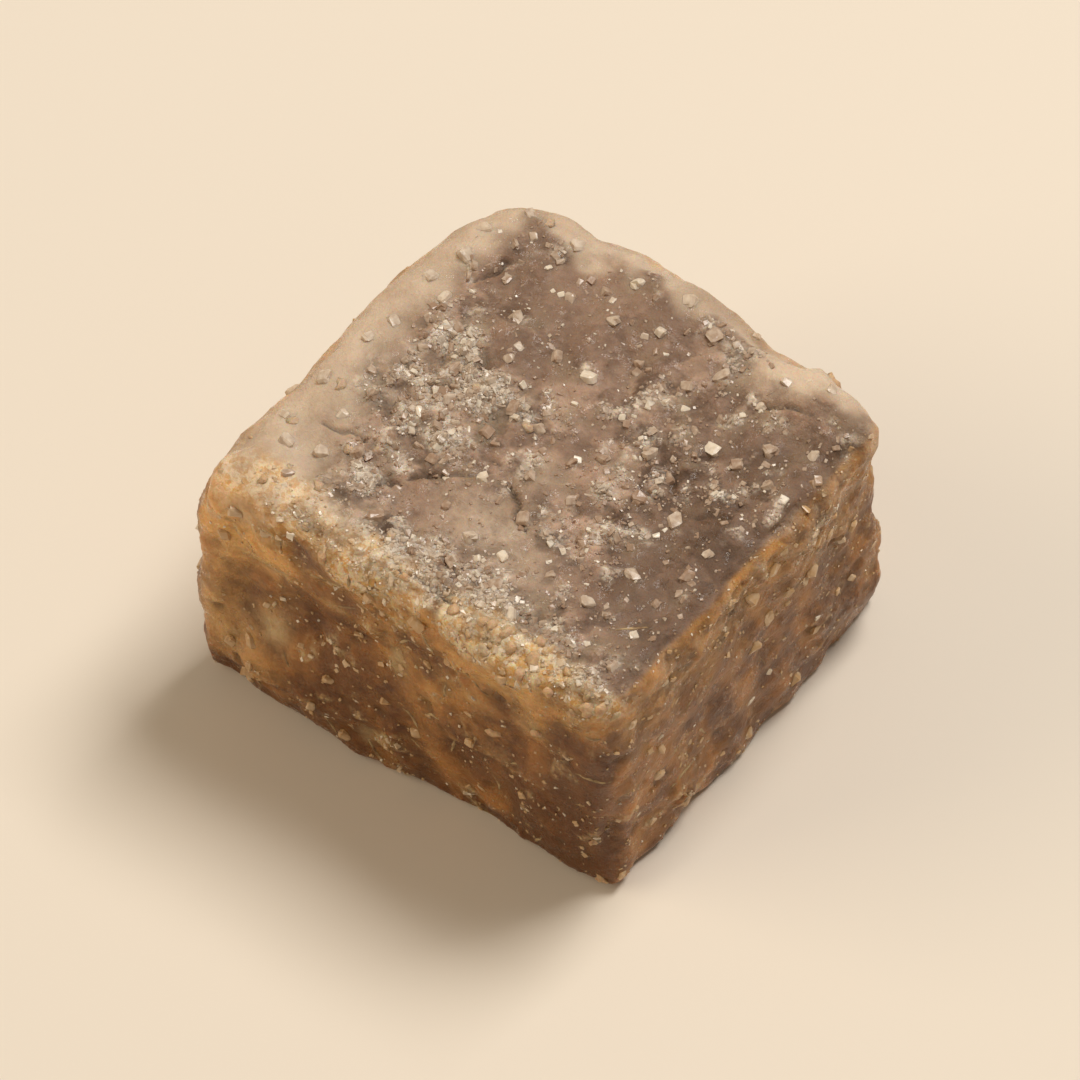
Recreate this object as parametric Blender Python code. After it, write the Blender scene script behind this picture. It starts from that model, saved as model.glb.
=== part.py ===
"""A cut cube of soft ginger candy with coarse sugar pressed into its crust.

The paste is boiled, poured out, cut with a knife and rolled in sugar. So the block has a flat
underside, four cut sides that lean a little, a lumpy crust on top and soft, uneven edges.
Metres, +Z up. The origin is at the middle of the underside, -Y is the cut front.
"""

import math
import random

import bmesh
import bpy
from mathutils import Matrix, Vector, noise

MM = 0.001

# Corners of the block before its edges are rounded, as (x, y, z) in millimetres.
TOP_CORNERS = {
    "front_left": (-14.9, -12.5, 20.9),
    "front_right": (12.9, -13.6, 19.5),
    "back_right": (15.4, 11.0, 19.9),
    "back_left": (-11.9, 14.0, 20.6),
}
BASE_CORNERS = {
    "front_left": (-15.5, -13.2, 0.0),
    "front_right": (12.6, -13.4, 0.0),
    "back_right": (14.9, 11.3, 0.0),
    "back_left": (-11.7, 13.6, 0.0),
}
SIGNS = {
    "front_left": (-1, -1),
    "front_right": (1, -1),
    "back_right": (1, 1),
    "back_left": (-1, 1),
}
HALF = Vector((13.9, 12.7, 10.1))  # half the mean width, depth and height, in millimetres
CENTRING = Vector((0.25, 0.50, 0.0))  # brings the middle of the finished block over the origin

# How far each upright edge is worn round: a share of the corner, and its radius in millimetres.
CORNER_WEAR = {"front_left": 0.03, "front_right": 0.10, "back_right": 0.12, "back_left": 0.50}
UPRIGHT_RADIUS = {"front_left": 1.1, "front_right": 1.6, "back_right": 2.0, "back_left": 2.4}
TOP_RADIUS = {"left": 2.7, "right": 1.2, "front": 1.4, "back": 2.1}
BASE_RADIUS = 0.7
RIM_BAND = (0.45, 0.85)  # how far up the half height the upright edges pass into the top edges
FOOT_BAND = (0.55, 0.90)  # and how far down they pass into the foot
SIDE_BLEND = 0.25  # how gently one top edge passes into the next
EDGE_TURN = (0.02, 0.22)  # how far a face has turned from flat where an edge starts and is full

# The soft paste bellies out between its corners and its crust dips in the middle (millimetres).
SIDE_BELLY = 0.35
TOP_DIP = 0.45

# Lumps and hollows: middle of each in millimetres, its reach along x, y and z, and its height.
LUMPS = (
    ((11.0, 9.6, 19.9), (4.6, 2.3, 3.0), 0.95),  # pale swelling at the back right corner
    ((3.0, 11.8, 20.2), (5.0, 1.5, 2.5), 0.40),  # lip along the back edge
    ((7.6, -13.0, 19.2), (3.4, 1.8, 1.9), 0.50),  # crumbled lump on the front edge
    ((-5.5, -13.6, 11.5), (7.5, 3.0, 3.2), -0.70),  # hollow dragged by the knife
    ((3.5, -13.8, 5.0), (6.0, 3.0, 2.6), -0.45),
    ((-9.5, -13.2, 4.2), (4.2, 3.0, 2.4), 0.45),  # foot of the front side, squeezed out
    ((-6.0, 3.0, 20.6), (4.8, 4.0, 3.0), 0.35),
    ((15.0, -3.0, 8.0), (3.0, 5.5, 4.5), -0.55),
    ((-14.5, 2.0, 9.0), (3.0, 5.0, 5.0), -0.40),
    ((1.0, 13.5, 9.0), (6.0, 3.0, 5.0), -0.45),
)

# Crags of the crust: distance between them and height, in millimetres, and a start in the noise.
CRAGS = (
    (8.0, 0.42, (0.0, 0.0, 0.0)),
    (3.1, 0.32, (5.0, 1.0, 9.0)),
    (1.6, 0.22, (2.0, 8.0, 3.0)),
)
CRUMBLE = (2.3, 0.75, (7.0, 3.0, 1.0))  # crumbs lost along the edges, in the same terms
DRAG = (2.2, 9.0, 0.22)  # upright marks of the knife: across, along and height

CELLS = (30, 27, 21)  # mesh cells along x, y and z

SUGAR_COUNT = {"top": 76, "front": 19, "back": 16, "left": 15, "right": 16}
SUGAR_SIZE = (0.58, 0.95)  # longest side of a grain, in millimetres
SUGAR_SHAPE = (1.0, 0.82, 0.66)  # a sugar crystal's length, breadth and thickness
SUGAR_STAND = 0.03  # how far a grain's middle stands out of the crust, as a share of its size
SUGAR_GAP = 1.7  # least distance between two grains, in millimetres
SUGAR_ACROSS = (-0.92, 0.92)  # the stretch of each side that has grains, across and up
SUGAR_UP = (-0.86, 0.92)
SUGAR_TILT = 0.6  # most slant of a grain, in radians
SEED = 7


def smooth_step(low, high, value):
    share = min(1.0, max(0.0, (value - low) / (high - low)))
    return share * share * (3.0 - 2.0 * share)


def mix(a, b, share):
    return a + (b - a) * share


def corner_mean(values, u, v):
    """The value at (u, v) in the square, between the values at its four corners."""
    total = 0.0
    for name, (side_x, side_y) in SIGNS.items():
        total += values[name] * (1.0 + u * side_x) * (1.0 + v * side_y) / 4.0
    return total


def edge_radius(u, v, w):
    """How round the block is near (u, v, w): by its upright edges, its top edges or its foot."""
    upright = corner_mean(UPRIGHT_RADIUS, u, v)
    across = TOP_RADIUS["right"] if u > 0 else TOP_RADIUS["left"]
    along = TOP_RADIUS["back"] if v > 0 else TOP_RADIUS["front"]
    top = mix(along, across, smooth_step(-SIDE_BLEND, SIDE_BLEND, abs(u) - abs(v)))
    if w > 0:
        return mix(upright, top, smooth_step(*RIM_BAND, w))
    return mix(upright, BASE_RADIUS, smooth_step(*FOOT_BAND, -w))


def rounded_block(u, v, w):
    """A point of the unit cube's skin, moved to the soft block, and the way it faces."""
    square = Vector((u * HALF.x, v * HALF.y, w * HALF.z))
    radius = edge_radius(u, v, w)
    core = Vector(
        max(radius - half, min(half - radius, value))
        for value, half in zip(square, HALF)
    )
    facing = (square - core).normalized()
    point = core + facing * radius
    wear = corner_mean(CORNER_WEAR, u, v)
    across = math.sqrt(1.0 - 0.5 * wear * (point.y / HALF.y) ** 2)
    along = math.sqrt(1.0 - 0.5 * wear * (point.x / HALF.x) ** 2)
    return Vector((point.x * across, point.y * along, point.z)), facing


def leaning_block(point):
    """The point of the even block, carried to the block whose corners lie as cut."""
    u, v, w = (point[i] / HALF[i] for i in range(3))
    placed = Vector((0.0, 0.0, 0.0))
    for name, (side_x, side_y) in SIGNS.items():
        weight = (1.0 + u * side_x) * (1.0 + v * side_y) / 8.0
        placed += weight * (1.0 + w) * Vector(TOP_CORNERS[name])
        placed += weight * (1.0 - w) * Vector(BASE_CORNERS[name])
    return placed


def lumps_at(point):
    total = 0.0
    for middle, reach, height in LUMPS:
        away = sum(((point[i] - middle[i]) / reach[i]) ** 2 for i in range(3))
        total += height * math.exp(-away)
    return total


def on_edge(facing):
    """0 on the flat of a side, 1 along a rounded edge or corner."""
    return smooth_step(*EDGE_TURN, 1.0 - max(abs(part) for part in facing))


def crags_at(point, facing):
    """Height of the crust's relief at a point, in millimetres."""
    height = 0.0
    for spacing, rise, start in CRAGS:
        height += rise * noise.noise(point / spacing + Vector(start))
    across, along, depth = DRAG
    marks = Vector((point.x / across, point.y / across, point.z / along))
    height += depth * noise.noise(marks) * (1.0 - abs(facing.z))
    spacing, loss, start = CRUMBLE
    lost = max(0.0, noise.noise(point / spacing + Vector(start)))
    return height - loss * lost * on_edge(facing)


def candy_surface(u, v, w):
    """Where the point (u, v, w) of the unit cube's skin lies on the candy, in millimetres."""
    even, facing = rounded_block(u, v, w)
    point = leaning_block(even)
    height = lumps_at(point) + crags_at(point, facing)
    height += SIDE_BELLY * (1.0 - w * w) * (1.0 - abs(facing.z))
    height -= TOP_DIP * (1.0 - u * u) * (1.0 - v * v) * max(0.0, facing.z)
    facing = Vector((facing.x, facing.y, max(0.0, facing.z)))  # the underside stays flat
    return point + facing * height + CENTRING, facing


def cut_along(bm, axis, cells):
    """Cuts every edge that runs along one axis, so that the cube's faces become a grid."""
    edges = [e for e in bm.edges if abs((e.verts[0].co - e.verts[1].co)[axis]) > 1e-6]
    bmesh.ops.subdivide_edges(bm, edges=edges, cuts=cells - 1, use_grid_fill=True)


def make_block(collection, material):
    bm = bmesh.new()
    bmesh.ops.create_cube(bm, size=2.0)
    for axis, cells in enumerate(CELLS):
        cut_along(bm, axis, cells)
    for vert in bm.verts:
        vert.co = candy_surface(*vert.co)[0] * MM
    bm.normal_update()
    mesh = bpy.data.meshes.new("ginger_candy")
    bm.to_mesh(mesh)
    bm.free()
    mesh.materials.append(material)
    block = bpy.data.objects.new("ginger_candy", mesh)
    collection.objects.link(block)
    return block


def point_on_side(side, s, t):
    """A point of the unit cube on the named side, at (s, t) across it."""
    return {
        "top": (s, t, 1.0),
        "front": (s, -1.0, t),
        "back": (s, 1.0, t),
        "left": (-1.0, s, t),
        "right": (1.0, s, t),
    }[side]


def sugar_places(rng):
    """Seats for the sugar grains: spread over each side, none nearer another than the gap."""
    seats = []
    for side, count in SUGAR_COUNT.items():
        placed = 0
        while placed < count:
            u, v, w = point_on_side(side, rng.uniform(*SUGAR_ACROSS), rng.uniform(*SUGAR_UP))
            point, facing = candy_surface(u, v, w)
            if all((point - other).length > SUGAR_GAP for other, _ in seats):
                seats.append((point, facing))
                placed += 1
    return seats


def make_grain(collection, number, point, facing, rng):
    """One sugar crystal, a small block seated in the crust at a slant."""
    size = rng.uniform(*SUGAR_SIZE)
    bm = bmesh.new()
    bmesh.ops.create_cube(bm, size=1.0)
    bmesh.ops.scale(bm, verts=bm.verts, vec=Vector(SUGAR_SHAPE) * size * MM)
    mesh = bpy.data.meshes.new("sugar_grain")
    bm.to_mesh(mesh)
    bm.free()
    grain = bpy.data.objects.new(f"sugar_grain_{number:03d}", mesh)
    roll = Matrix.Rotation(rng.uniform(-SUGAR_TILT, SUGAR_TILT), 4, "X")
    pitch = Matrix.Rotation(rng.uniform(-SUGAR_TILT, SUGAR_TILT), 4, "Y")
    spin = Matrix.Rotation(rng.uniform(0.0, math.tau), 4, "Z")
    upright = facing.to_track_quat("Z", "Y").to_matrix().to_4x4()
    seat = Matrix.Translation((point + facing * size * SUGAR_STAND) * MM)
    grain.matrix_world = seat @ upright @ spin @ roll @ pitch
    collection.objects.link(grain)
    return grain


def fuse(block, grains, collection):
    """Joins the grains to the block as one solid, and removes them."""
    join = block.modifiers.new("sugar", "BOOLEAN")
    join.operation = "UNION"
    join.operand_type = "COLLECTION"
    join.collection = collection
    join.solver = "MANIFOLD"
    bpy.context.view_layer.update()
    graph = bpy.context.evaluated_depsgraph_get()
    joined = bpy.data.meshes.new_from_object(block.evaluated_get(graph))
    block.modifiers.clear()
    block.data = joined
    for grain in grains:
        bpy.data.objects.remove(grain)
    bpy.data.collections.remove(collection)


def candy_material():
    """Brown, slightly waxy paste under a haze of sugar."""
    material = bpy.data.materials.new("sugared_ginger_paste")
    material.use_nodes = True
    shader = material.node_tree.nodes["Principled BSDF"]
    shader.inputs["Base Color"].default_value = (0.34, 0.21, 0.12, 1.0)
    shader.inputs["Roughness"].default_value = 0.55
    shader.inputs["Metallic"].default_value = 0.0
    return material


def main():
    for obj in list(bpy.data.objects):
        bpy.data.objects.remove(obj)
    candy = bpy.data.collections.new("ginger_candy")
    bpy.context.scene.collection.children.link(candy)
    sugar = bpy.data.collections.new("sugar_grains")
    bpy.context.scene.collection.children.link(sugar)
    block = make_block(candy, candy_material())
    rng = random.Random(SEED)
    grains = [
        make_grain(sugar, number, point, facing, rng)
        for number, (point, facing) in enumerate(sugar_places(rng))
    ]
    fuse(block, grains, sugar)
    block.data.shade_smooth()
    block.data.set_sharp_from_angle(angle=math.radians(40.0))


main()
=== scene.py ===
"""A cut cube of ginger candy: brown paste, a dry crust and the sugar it was rolled in.

The sections below make the view, the pieces of the candy and the place where it stands. The
object is in metres; the values of the block and its sugar are in millimetres, as MM says.
"""
import math
import random

import bmesh
import bpy
import numpy as np
from mathutils import Matrix, Quaternion, Vector, noise
from mathutils.bvhtree import BVHTree


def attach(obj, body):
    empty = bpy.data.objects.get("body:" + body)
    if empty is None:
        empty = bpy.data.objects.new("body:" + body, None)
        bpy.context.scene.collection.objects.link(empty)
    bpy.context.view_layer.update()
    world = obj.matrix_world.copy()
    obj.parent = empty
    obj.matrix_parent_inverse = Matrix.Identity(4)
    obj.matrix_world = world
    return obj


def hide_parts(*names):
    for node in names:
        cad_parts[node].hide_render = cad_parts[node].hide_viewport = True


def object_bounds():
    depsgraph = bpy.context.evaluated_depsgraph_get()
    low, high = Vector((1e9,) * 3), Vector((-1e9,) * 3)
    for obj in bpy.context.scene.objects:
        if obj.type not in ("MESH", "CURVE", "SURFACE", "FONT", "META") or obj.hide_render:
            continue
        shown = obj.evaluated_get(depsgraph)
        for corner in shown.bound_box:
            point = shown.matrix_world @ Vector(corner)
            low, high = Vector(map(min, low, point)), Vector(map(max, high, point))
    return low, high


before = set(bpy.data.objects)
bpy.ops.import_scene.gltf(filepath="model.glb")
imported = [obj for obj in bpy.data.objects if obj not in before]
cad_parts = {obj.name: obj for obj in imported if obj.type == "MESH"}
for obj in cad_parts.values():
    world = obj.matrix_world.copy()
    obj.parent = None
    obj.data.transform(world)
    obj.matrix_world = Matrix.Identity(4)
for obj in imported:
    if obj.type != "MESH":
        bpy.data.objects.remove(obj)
box_low, box_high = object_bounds()

# The view of the candy
# It is seen over the corner between its cut front and its right side, from steeply above and two
# thirds of a metre away, with the camera turned a little so that upright lines lean to the left.
VIEW_AZIMUTH = math.radians(37.1)
VIEW_HEIGHT = math.radians(58.2)
VIEW_DISTANCE = 0.674
VIEW_TURN = math.radians(-4.2)
VIEW_AIM = Vector((0.0, -0.0005, 0.0095))
VIEW_WIDTH = 0.060  # of the picture, at the candy
SENSOR = 36.0

back = Vector((
    math.sin(VIEW_AZIMUTH) * math.cos(VIEW_HEIGHT),
    -math.cos(VIEW_AZIMUTH) * math.cos(VIEW_HEIGHT),
    math.sin(VIEW_HEIGHT),
))
camera = bpy.data.objects.new("camera", bpy.data.cameras.new("camera"))
camera.data.sensor_width = SENSOR
camera.data.lens = SENSOR * VIEW_DISTANCE / VIEW_WIDTH
camera.data.clip_start = 0.02
camera.data.clip_end = 20.0
camera.location = VIEW_AIM + back * VIEW_DISTANCE
camera.rotation_mode = "QUATERNION"
level = (-back).to_track_quat("-Z", "Y")
camera.rotation_quaternion = level @ Quaternion((0.0, 0.0, 1.0), VIEW_TURN)
bpy.context.scene.collection.objects.link(camera)
bpy.context.scene.camera = camera
bpy.context.scene.view_settings.view_transform = "Standard"

# The block of paste
# Ginger, starch and brown sugar are boiled to a stiff paste, poured out a finger thick and cut
# with a knife. The block is soft, so its sides belly and lean, its upper edges are worn round and
# its skin has dried to a craggy crust. The node's own form is made again here with finer cells.
MM = 0.001
TOP_CORNERS = {
    "front_left": (-14.9, -12.5, 20.9),
    "front_right": (12.9, -13.6, 19.5),
    "back_right": (15.4, 11.0, 19.9),
    "back_left": (-11.9, 14.0, 20.6),
}
BASE_CORNERS = {
    "front_left": (-15.5, -13.2, 0.0),
    "front_right": (12.6, -13.4, 0.0),
    "back_right": (14.9, 11.3, 0.0),
    "back_left": (-11.7, 13.6, 0.0),
}
SIGNS = {
    "front_left": (-1, -1),
    "front_right": (1, -1),
    "back_right": (1, 1),
    "back_left": (-1, 1),
}
HALF = Vector((13.9, 12.7, 10.1))  # half the mean width, depth and height
CENTRING = Vector((0.25, 0.50, 0.0))  # brings the middle of the finished block over the origin
# How far each upright edge is worn round: a share of the corner, and its radius.
CORNER_WEAR = {"front_left": 0.03, "front_right": 0.10, "back_right": 0.12, "back_left": 0.50}
UPRIGHT_RADIUS = {"front_left": 1.1, "front_right": 1.6, "back_right": 2.0, "back_left": 2.4}
TOP_RADIUS = {"left": 2.7, "right": 1.2, "front": 1.4, "back": 2.1}
BASE_RADIUS = 0.7
RIM_BAND = (0.45, 0.85)  # how far up the half height the upright edges pass into the top edges
FOOT_BAND = (0.55, 0.90)  # and how far down they pass into the foot
SIDE_BLEND = 0.25  # how gently one top edge passes into the next
EDGE_TURN = (0.02, 0.22)  # how far a face has turned from flat where an edge starts and is full
SIDE_BELLY = 0.35  # how far the sides belly out at half their height
TOP_DIP = 0.45  # how far the top dips in the middle
# Lumps and hollows: middle of each, its reach along x, y and z, and its height.
LUMPS = (
    ((11.0, 9.6, 19.9), (4.6, 2.3, 3.0), 0.95),
    ((3.0, 11.8, 20.2), (5.0, 1.5, 2.5), 0.40),
    ((7.6, -13.0, 19.2), (3.4, 1.8, 1.9), 0.50),
    ((-5.5, -13.6, 11.5), (7.5, 3.0, 3.2), -0.70),
    ((3.5, -13.8, 5.0), (6.0, 3.0, 2.6), -0.45),
    ((-9.5, -13.2, 4.2), (4.2, 3.0, 2.4), 0.45),
    ((-6.0, 3.0, 20.6), (4.8, 4.0, 3.0), 0.35),
    ((15.0, -3.0, 8.0), (3.0, 5.5, 4.5), -0.55),
    ((-14.5, 2.0, 9.0), (3.0, 5.0, 5.0), -0.40),
    ((1.0, 13.5, 9.0), (6.0, 3.0, 5.0), -0.45),
)
# Crags of the crust: distance between them, height, and where the noise starts.
CRAGS = (
    (8.0, 0.42, (0.0, 0.0, 0.0)),
    (3.1, 0.32, (5.0, 1.0, 9.0)),
    (1.6, 0.22, (2.0, 8.0, 3.0)),
)
CRUMBLE = (2.3, 0.75, (7.0, 3.0, 1.0))  # crumbs lost along the edges, in the same terms
DRAG = (2.2, 9.0, 0.22)  # upright marks of the knife: across, along and height
CELLS = (148, 134, 104)  # along x, y and z: about a fifth of a millimetre each


def smooth_step(low, high, value):
    share = min(1.0, max(0.0, (value - low) / (high - low)))
    return share * share * (3.0 - 2.0 * share)


def mix(a, b, share):
    return a + (b - a) * share


def corner_mean(values, u, v):
    """The value at (u, v) in the square, between the values at its four corners."""
    total = 0.0
    for name, (side_x, side_y) in SIGNS.items():
        total += values[name] * (1.0 + u * side_x) * (1.0 + v * side_y) / 4.0
    return total


def edge_radius(u, v, w):
    """How round the block is near (u, v, w): by its upright edges, its top edges or its foot."""
    upright = corner_mean(UPRIGHT_RADIUS, u, v)
    across = TOP_RADIUS["right"] if u > 0 else TOP_RADIUS["left"]
    along = TOP_RADIUS["back"] if v > 0 else TOP_RADIUS["front"]
    top = mix(along, across, smooth_step(-SIDE_BLEND, SIDE_BLEND, abs(u) - abs(v)))
    if w > 0:
        return mix(upright, top, smooth_step(*RIM_BAND, w))
    return mix(upright, BASE_RADIUS, smooth_step(*FOOT_BAND, -w))


def rounded_block(u, v, w):
    """The skin of a cube from -1 to 1, rounded to the soft block, and the way it faces."""
    square = Vector((u * HALF.x, v * HALF.y, w * HALF.z))
    radius = edge_radius(u, v, w)
    core = Vector(
        max(radius - half, min(half - radius, value))
        for value, half in zip(square, HALF)
    )
    facing = (square - core).normalized()
    point = core + facing * radius
    wear = corner_mean(CORNER_WEAR, u, v)
    across = math.sqrt(1.0 - 0.5 * wear * (point.y / HALF.y) ** 2)
    along = math.sqrt(1.0 - 0.5 * wear * (point.x / HALF.x) ** 2)
    return Vector((point.x * across, point.y * along, point.z)), facing


def leaning_block(point):
    """The point of the even block, carried to the block whose corners lie as cut."""
    u, v, w = (point[i] / HALF[i] for i in range(3))
    placed = Vector((0.0, 0.0, 0.0))
    for name, (side_x, side_y) in SIGNS.items():
        weight = (1.0 + u * side_x) * (1.0 + v * side_y) / 8.0
        placed += weight * (1.0 + w) * Vector(TOP_CORNERS[name])
        placed += weight * (1.0 - w) * Vector(BASE_CORNERS[name])
    return placed


def lumps_at(point):
    total = 0.0
    for middle, reach, height in LUMPS:
        away = sum(((point[i] - middle[i]) / reach[i]) ** 2 for i in range(3))
        total += height * math.exp(-away)
    return total


def on_edge(facing):
    """0 on the flat of a side, 1 along a rounded edge or corner."""
    return smooth_step(*EDGE_TURN, 1.0 - max(abs(part) for part in facing))


def crags_at(point, facing):
    height = 0.0
    for spacing, rise, start in CRAGS:
        height += rise * noise.noise(point / spacing + Vector(start))
    across, along, depth = DRAG
    marks = Vector((point.x / across, point.y / across, point.z / along))
    height += depth * noise.noise(marks) * (1.0 - abs(facing.z))
    spacing, loss, start = CRUMBLE
    lost = max(0.0, noise.noise(point / spacing + Vector(start)))
    return height - loss * lost * on_edge(facing)


def candy_surface(u, v, w):
    """Where (u, v, w) on the skin of a cube from -1 to 1 lies on the candy, and how it faces."""
    even, facing = rounded_block(u, v, w)
    point = leaning_block(even)
    height = lumps_at(point) + crags_at(point, facing)
    height += SIDE_BELLY * (1.0 - w * w) * (1.0 - abs(facing.z))
    height -= TOP_DIP * (1.0 - u * u) * (1.0 - v * v) * max(0.0, facing.z)
    facing = Vector((facing.x, facing.y, max(0.0, facing.z)))  # the underside stays flat
    return point + facing * height + CENTRING, facing


def cut_along(bm, axis, cells):
    """Cuts every edge that runs along one axis, so that the cube's faces become a grid."""
    edges = [e for e in bm.edges if abs((e.verts[0].co - e.verts[1].co)[axis]) > 1e-6]
    bmesh.ops.subdivide_edges(bm, edges=edges, cuts=cells - 1, use_grid_fill=True)


block = bmesh.new()
bmesh.ops.create_cube(block, size=2.0)
for axis, cells in enumerate(CELLS):
    cut_along(block, axis, cells)
cube = np.array([vert.co for vert in block.verts])
skin = [candy_surface(*vert.co) for vert in block.verts]
points = np.array([point for point, _ in skin])
facings = np.array([facing for _, facing in skin])

# The crust
# The block was rolled in sugar while it was sticky, and a thin crust has dried on it: blocky
# crystals and frosted flakes where the sugar lies thick, a smooth film where it is thin. It has
# worn off the left and back edges, and drying has opened short cracks in it. The cut sides have
# less sugar. Bubbles in the paste have left pits all over, apart from the worn edges.
CRYSTALS = ((1.30, 0.10, 0.16), (0.66, 0.06, 0.30))  # across and high in millimetres, and slant
BARE_CRYSTALS = 0.18  # how much of their relief shows where there is no sugar
FLAKE = 0.09  # thickness of the frosted flakes
GAP = 0.14  # depth of the gaps between them
CRUST = 0.14  # thickness of the crust where it ends at the worn edges
PLATES = (2.5, 0.12)  # the crust dried in plates: width, and how far they stand unevenly
GRIT = ((0.62, 0.080, (3.0, 4.0, 5.0)), (0.40, 0.065, (9.0, 2.0, 6.0)))  # spacing, height, start
BARE_GRIT = 0.30  # how much of its relief shows where there is no sugar
PITS = (1.9, 0.30, 0.17)  # distance apart, radius as a share of it, and depth
PIT_CHANCE = 0.40
LEFT_RIM = (5.6, 3.6)  # width of the worn left edge: at the front and at the back
BACK_RIM = (2.2, 2.0)  # width of the worn back edge: at the left and at the right
FRONT_RIM = (2.5, 1.7)  # width of the front edge's fringe of sugar: at the left and at the right
RIGHT_EDGE = (1.6, 1.6)  # width of the right edge, which gets less sugar and painted shade
DOWN_RIM = 3.4  # how far the edges' wear reaches down the sides
WORN_STRETCH = (0.10, 1.25)  # shares of that depth between which the wear fades out
DOWN_FRINGE = 1.5  # how far the fringe reaches down the cut front
FRINGE_START = (-15.0, -10.5)  # the fringe comes up from the left corner between these x
SIDE_DUST = (0.16, 0.42)  # sugar dust on the other sides, at their foot and at their top
# Unevenness of the sugar, the bands' edges and the fringe: distance apart, and the noise's start.
BROAD = (4.2, (1.0, 7.0, 4.0))
CLOSE = (1.5, (6.0, 2.0, 8.0))
FINE = (0.75, (3.0, 9.0, 2.0))
WAVER = (2.8, (2.0, 2.0, 9.0))
FRINGE_GAPS = (2.4, (7.0, 5.0, 1.0))
WANDER = (1.1, 0.42)  # how the cracks and plates wander: distance apart, and how far they go
# Patches of the top: middle, reach (x and y, millimetres), sugar there and paleness there.
TOP_PATCHES = (
    ((-3.8, 0.3), (1.9, 1.4), 0.60, 0.55),
    ((-8.6, -2.6), (1.5, 1.0), 0.45, 0.55),
    ((-6.4, 3.0), (1.3, 1.1), 0.38, 0.50),
    ((-6.8, 0.4), (0.9, 1.6), 0.30, 0.50),
    ((-4.8, -3.2), (3.0, 1.1), 0.28, 0.32),
    ((-6.0, -5.4), (2.6, 0.6), 0.28, 0.36),
    ((0.8, -6.4), (3.2, 1.8), -0.42, 0.55),
    ((5.0, -7.4), (2.4, 1.6), -0.30, 0.24),
    ((1.6, -2.0), (1.4, 1.6), -0.20, 0.40),
    ((5.2, -1.0), (0.6, 0.7), 0.45, 0.42),
    ((4.8, 3.1), (1.8, 1.0), 0.12, 0.18),
    ((8.2, 1.2), (1.3, 1.2), 0.22, 0.14),
    ((8.6, 6.7), (0.5, 0.6), 0.55, 0.40),
    ((7.4, -3.6), (1.2, 0.7), 0.26, 0.20),
    ((12.4, -2.6), (1.0, 1.3), 0.14, 0.10),
    ((11.8, 2.2), (1.4, 0.9), 0.10, 0.06),
    ((12.6, -5.2), (0.7, 0.9), 0.20, 0.22),
    ((2.4, -9.6), (4.0, 1.2), 0.28, 0.16),
    ((-6.4, -8.0), (2.2, 1.0), 0.20, 0.20),
    ((-9.6, -10.8), (2.6, 1.4), -0.20, 0.90),
    ((-6.2, -10.9), (2.2, 0.9), -0.10, 0.80),
    ((-3.2, -12.0), (1.8, 0.8), -0.05, 0.70),
    ((8.6, -10.8), (3.6, 1.4), 0.26, 0.24),
    # painted shade: the right part of the top is darker, with less sugar
    ((11.4, -1.0), (3.0, 7.5), -0.28, -1.00),
    ((-1.4, 8.0), (6.4, 2.6), -0.62, -0.24),
    ((3.6, 12.8), (4.6, 1.3), 0.00, -0.30),
    ((-4.0, 4.0), (2.6, 1.2), -0.30, -0.22),
    ((-9.6, -0.6), (0.9, 1.5), -0.10, -0.38),
    ((-0.4, -0.6), (1.1, 0.8), -0.20, -0.36),
    ((2.4, 0.5), (1.0, 0.9), -0.20, -0.38),
    ((5.8, 0.7), (0.8, 0.9), -0.20, -0.38),
    ((-2.2, -2.6), (1.2, 0.7), -0.10, -0.30),
    ((9.2, -6.4), (3.0, 1.0), -0.20, -0.26),
    ((12.2, -7.6), (1.4, 1.2), -0.15, -0.30),
    ((12.4, 5.6), (1.8, 1.1), -0.15, -0.30),
    ((2.8, 10.2), (1.2, 0.8), -0.30, -0.30),
    ((10.0, 10.2), (3.1, 1.8), -0.40, 0.95),
    ((-4.4, 12.0), (2.4, 1.2), -0.25, 0.50),
)
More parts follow.
